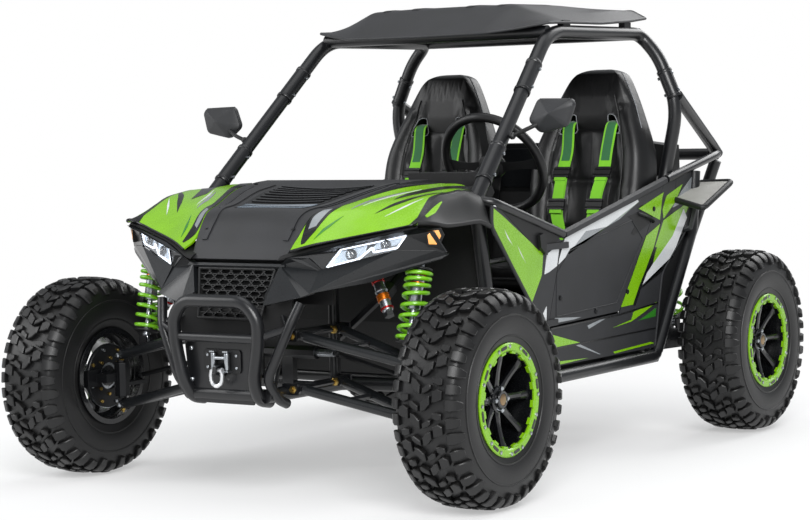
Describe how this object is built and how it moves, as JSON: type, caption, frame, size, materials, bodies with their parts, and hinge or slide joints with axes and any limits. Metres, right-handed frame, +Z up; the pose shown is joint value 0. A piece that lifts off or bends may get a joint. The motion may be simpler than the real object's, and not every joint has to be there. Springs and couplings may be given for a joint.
{
  "type": "off-road go kart",
  "caption": "Off-road two-seat buggy go kart with a tubular roll cage, wishbone front and swing-arm rear suspension, working steering, doors, pedals and wheels.",
  "frame": {"origin": "on the ground under the middle of the kart, halfway between the tyres' front and rear ends and midway between its sides", "axes": "the front of the kart faces -Y, so +Y runs to the rear, +X points to the kart's own left, the steering side, and +Z is up"},
  "size_m": [1.772, 2.4836, 1.56],
  "materials": {
    "black_tube": "satin black powder coat",
    "charcoal": "satin",
    "lime": "gloss lime",
    "mesh": "matt grain",
    "lens": "clear moulded lens",
    "leather": "satin black, grey piping",
    "webbing": "woven",
    "tyre": "matt rubber",
    "rim": "gloss black with lime ring",
    "spring": "lime powder coat",
    "black_steel": "satin",
    "zinc": "yellow zinc",
    "bright": "bright",
    "cast": "as cast",
    "tub": "matt grain"
  },
  "bodies": {
    "chassis": {"chassis_frame": "black_tube", "roll_cage": "black_tube", "front_bumper": "black_tube", "front_left_fender": "lime", "front_right_fender": "lime", "hood": "charcoal", "headlight_left": "lens", "headlight_right": "lens", "front_fascia": "mesh", "grille": "mesh", "side_panel_left": "charcoal", "side_panel_right": "charcoal", "roof_panel": "charcoal", "cockpit_tub": "tub", "seat_left": "leather", "seat_right": "leather", "harness_left": "webbing", "harness_right": "webbing", "power_unit": "cast"},
    "shackle": {"tow_shackle": "bright"},
    "steering_wheel": {"steering_wheel": "mesh"},
    "rack": {"steering_rack": "black_steel"},
    "throttle_pedal": {"throttle_pedal": "black_steel"},
    "brake_pedal": {"brake_pedal": "black_steel"},
    "swing_arm": {"rear_swing_arm": "black_tube"},
    "rear_axle": {"rear_axle": "black_steel", "rear_left_rim": "rim", "rear_left_tyre": "tyre", "rear_right_rim": "rim", "rear_right_tyre": "tyre"},
    "front_left_lower_arm": {"front_left_lower_arm": "black_tube"},
    "front_left_upper_arm": {"front_left_upper_arm": "black_tube"},
    "front_left_kingpin": {"front_left_kingpin": "black_steel"},
    "front_left_knuckle": {"front_left_knuckle": "cast"},
    "front_left_wheel": {"front_left_rim": "rim", "front_left_tyre": "tyre"},
    "front_left_tie_rod": {"front_left_tie_rod": "zinc"},
    "front_left_shock_body": {"front_left_shock_body": "bright", "front_left_spring": "spring"},
    "front_left_shock_rod": {"front_left_shock_rod": "bright"},
    "rear_left_shock_body": {"rear_left_shock_body": "bright", "rear_left_spring": "spring"},
    "rear_left_shock_rod": {"rear_left_shock_rod": "bright"},
    "door_left": {"door_left": "charcoal"},
    "mirror_left": {"mirror_left": "charcoal"},
    "front_right_lower_arm": {"front_right_lower_arm": "black_tube"},
    "front_right_upper_arm": {"front_right_upper_arm": "black_tube"},
    "front_right_kingpin": {"front_right_kingpin": "black_steel"},
    "front_right_knuckle": {"front_right_knuckle": "cast"},
    "front_right_wheel": {"front_right_rim": "rim", "front_right_tyre": "tyre"},
    "front_right_tie_rod": {"front_right_tie_rod": "zinc"},
    "front_right_shock_body": {"front_right_shock_body": "bright", "front_right_spring": "spring"},
    "front_right_shock_rod": {"front_right_shock_rod": "bright"},
    "rear_right_shock_body": {"rear_right_shock_body": "bright", "rear_right_spring": "spring"},
    "rear_right_shock_rod": {"rear_right_shock_rod": "bright"},
    "door_right": {"door_right": "charcoal"},
    "mirror_right": {"mirror_right": "charcoal"}
  },
  "joints": [
    {"name": "steering_wheel_turn", "type": "hinge", "parent": "chassis", "child": "steering_wheel", "pos_m": [0.326, -0.075, 1.005], "axis": [0, -0.866, -0.5], "range_deg": [-270, 270]},
    {"name": "rack_slide", "type": "slide", "parent": "chassis", "child": "rack", "axis": [1, 0, 0], "range_m": [-0.043, 0.043]},
    {"name": "front_left_lower_arm_pivot", "type": "hinge", "parent": "chassis", "child": "front_left_lower_arm", "pos_m": [0.19, -0.915, 0.343], "axis": [0, -1, 0], "range_deg": [-8, 12], "stiffness_Nm_per_rad": 4250, "springref_deg": -7.22},
    {"name": "front_left_upper_arm_pivot", "type": "hinge", "parent": "chassis", "child": "front_left_upper_arm", "pos_m": [0.19, -0.915, 0.508], "axis": [0, -1, 0], "range_deg": [-8.1, 12.1]},
    {"name": "front_left_kingpin_pivot", "type": "hinge", "parent": "front_left_lower_arm", "child": "front_left_kingpin", "pos_m": [0.625, -0.915, 0.237], "axis": [0, -1, 0], "range_deg": [-12.1, 8.1]},
    {"name": "front_left_knuckle_steer", "type": "hinge", "parent": "front_left_kingpin", "child": "front_left_knuckle", "pos_m": [0.625, -0.915, 0.33], "axis": [0, 0, 1], "range_deg": [-26.1, 26.1]},
    {"name": "front_left_wheel_spin", "type": "hinge", "parent": "front_left_knuckle", "child": "front_left_wheel", "pos_m": [0.772, -0.915, 0.33], "axis": [1, 0, 0], "continuous": true},
    {"name": "front_left_tie_rod_pivot", "type": "hinge", "parent": "rack", "child": "front_left_tie_rod", "pos_m": [0.19, -0.82, 0.43], "axis": [0, -1, 0], "range_deg": [-8.1, 12.1]},
    {"name": "front_left_shock_swing", "type": "hinge", "parent": "chassis", "child": "front_left_shock_body", "pos_m": [0.527, -0.842, 0.73], "axis": [1, 0, 0], "range_deg": [-4.4, 2.95]},
    {"name": "front_left_shock_travel", "type": "slide", "parent": "front_left_shock_body", "child": "front_left_shock_rod", "axis": [0.036, 0.2629, 0.9641], "range_m": [-0.0445, 0.0665], "deforming": ["front_left_spring"]},
    {"name": "rear_left_shock_swing", "type": "hinge", "parent": "chassis", "child": "rear_left_shock_body", "pos_m": [0.52, 0.785, 0.8], "axis": [1, 0, 0], "range_deg": [-0.9, 1.35]},
    {"name": "rear_left_shock_travel", "type": "slide", "parent": "rear_left_shock_body", "child": "rear_left_shock_rod", "axis": [0, -0.2021, 0.9794], "range_m": [-0.056, 0.087], "deforming": ["rear_left_spring"]},
    {"name": "door_left_hinge", "type": "hinge", "parent": "chassis", "child": "door_left", "pos_m": [0.608, -0.224, 0.7], "axis": [0, 0, -1], "range_deg": [0, 60]},
    {"name": "mirror_left_swivel", "type": "hinge", "parent": "chassis", "child": "mirror_left", "pos_m": [0.546, -0.319, 1.1005], "axis": [0, 0, 1], "range_deg": [-20, 20]},
    {"name": "front_right_lower_arm_pivot", "type": "hinge", "parent": "chassis", "child": "front_right_lower_arm", "pos_m": [-0.19, -0.915, 0.343], "axis": [0, 1, 0], "range_deg": [-8, 12], "stiffness_Nm_per_rad": 4250, "springref_deg": -7.22},
    {"name": "front_right_upper_arm_pivot", "type": "hinge", "parent": "chassis", "child": "front_right_upper_arm", "pos_m": [-0.19, -0.915, 0.508], "axis": [0, 1, 0], "range_deg": [-8.1, 12.1]},
    {"name": "front_right_kingpin_pivot", "type": "hinge", "parent": "front_right_lower_arm", "child": "front_right_kingpin", "pos_m": [-0.625, -0.915, 0.237], "axis": [0, 1, 0], "range_deg": [-12.1, 8.1]},
    {"name": "front_right_knuckle_steer", "type": "hinge", "parent": "front_right_kingpin", "child": "front_right_knuckle", "pos_m": [-0.625, -0.915, 0.33], "axis": [0, 0, 1], "range_deg": [-26.1, 26.1]},
    {"name": "front_right_wheel_spin", "type": "hinge", "parent": "front_right_knuckle", "child": "front_right_wheel", "pos_m": [-0.772, -0.915, 0.33], "axis": [1, 0, 0], "continuous": true},
    {"name": "front_right_tie_rod_pivot", "type": "hinge", "parent": "rack", "child": "front_right_tie_rod", "pos_m": [-0.19, -0.82, 0.43], "axis": [0, 1, 0], "range_deg": [-8.1, 12.1]},
    {"name": "front_right_shock_swing", "type": "hinge", "parent": "chassis", "child": "front_right_shock_body", "pos_m": [-0.527, -0.842, 0.73], "axis": [1, 0, 0], "range_deg": [-4.4, 2.95]},
    {"name": "front_right_shock_travel", "type": "slide", "parent": "front_right_shock_body", "child": "front_right_shock_rod", "axis": [-0.036, 0.2629, 0.9641], "range_m": [-0.0445, 0.0665], "deforming": ["front_right_spring"]},
    {"name": "rear_right_shock_swing", "type": "hinge", "parent": "chassis", "child": "rear_right_shock_body", "pos_m": [-0.52, 0.785, 0.8], "axis": [1, 0, 0], "range_deg": [-0.9, 1.35]},
    {"name": "rear_right_shock_travel", "type": "slide", "parent": "rear_right_shock_body", "child": "rear_right_shock_rod", "axis": [0, -0.2021, 0.9794], "range_m": [-0.056, 0.087], "deforming": ["rear_right_spring"]},
    {"name": "door_right_hinge", "type": "hinge", "parent": "chassis", "child": "door_right", "pos_m": [-0.608, -0.224, 0.7], "axis": [0, 0, 1], "range_deg": [0, 60]},
    {"name": "mirror_right_swivel", "type": "hinge", "parent": "chassis", "child": "mirror_right", "pos_m": [-0.546, -0.319, 1.1005], "axis": [0, 0, 1], "range_deg": [-20, 20]},
    {"name": "swing_arm_pivot", "type": "hinge", "parent": "chassis", "child": "swing_arm", "pos_m": [0, 0.3, 0.351], "axis": [1, 0, 0], "range_deg": [-5.6, 8.7], "stiffness_Nm_per_rad": 13500, "springref_deg": -4.58},
    {"name": "rear_axle_spin", "type": "hinge", "parent": "swing_arm", "child": "rear_axle", "pos_m": [0, 0.915, 0.33], "axis": [1, 0, 0], "continuous": true},
    {"name": "shackle_pivot", "type": "hinge", "parent": "chassis", "child": "shackle", "pos_m": [0, -1.194, 0.408], "axis": [-1, 0, 0], "range_deg": [-10, 70]},
    {"name": "throttle_pedal_pivot", "type": "hinge", "parent": "chassis", "child": "throttle_pedal", "pos_m": [0.26, -0.432, 0.56], "axis": [-1, 0, 0], "range_deg": [0, 18], "stiffness_Nm_per_rad": 12, "springref_deg": -8.59},
    {"name": "brake_pedal_pivot", "type": "hinge", "parent": "chassis", "child": "brake_pedal", "pos_m": [0.36, -0.432, 0.56], "axis": [-1, 0, 0], "range_deg": [0, 18], "stiffness_Nm_per_rad": 12, "springref_deg": -8.59}
  ],
  "couplings": [
    {"joint": "rack_slide", "follows": "steering_wheel_turn", "m_per_rad": 0.0089},
    {"joint": "front_left_upper_arm_pivot", "follows": "front_left_lower_arm_pivot", "ratio": 1},
    {"joint": "front_left_kingpin_pivot", "follows": "front_left_lower_arm_pivot", "ratio": -1},
    {"joint": "front_left_tie_rod_pivot", "follows": "front_left_lower_arm_pivot", "ratio": 1},
    {"joint": "front_left_shock_swing", "follows": "front_left_lower_arm_pivot", "ratio": -0.358},
    {"joint": "front_left_shock_travel", "follows": "front_left_lower_arm_pivot", "m_per_rad": 0.3143},
    {"joint": "front_left_knuckle_steer", "follows": "steering_wheel_turn", "ratio": -0.0963},
    {"joint": "rear_left_shock_swing", "follows": "swing_arm_pivot", "ratio": 0.1472},
    {"joint": "rear_left_shock_travel", "follows": "swing_arm_pivot", "m_per_rad": 0.5674},
    {"joint": "front_right_upper_arm_pivot", "follows": "front_right_lower_arm_pivot", "ratio": 1},
    {"joint": "front_right_kingpin_pivot", "follows": "front_right_lower_arm_pivot", "ratio": -1},
    {"joint": "front_right_tie_rod_pivot", "follows": "front_right_lower_arm_pivot", "ratio": 1},
    {"joint": "front_right_shock_swing", "follows": "front_right_lower_arm_pivot", "ratio": -0.358},
    {"joint": "front_right_shock_travel", "follows": "front_right_lower_arm_pivot", "m_per_rad": 0.3143},
    {"joint": "front_right_knuckle_steer", "follows": "steering_wheel_turn", "ratio": -0.0963},
    {"joint": "rear_right_shock_swing", "follows": "swing_arm_pivot", "ratio": 0.1472},
    {"joint": "rear_right_shock_travel", "follows": "swing_arm_pivot", "m_per_rad": 0.5674}
  ]
}
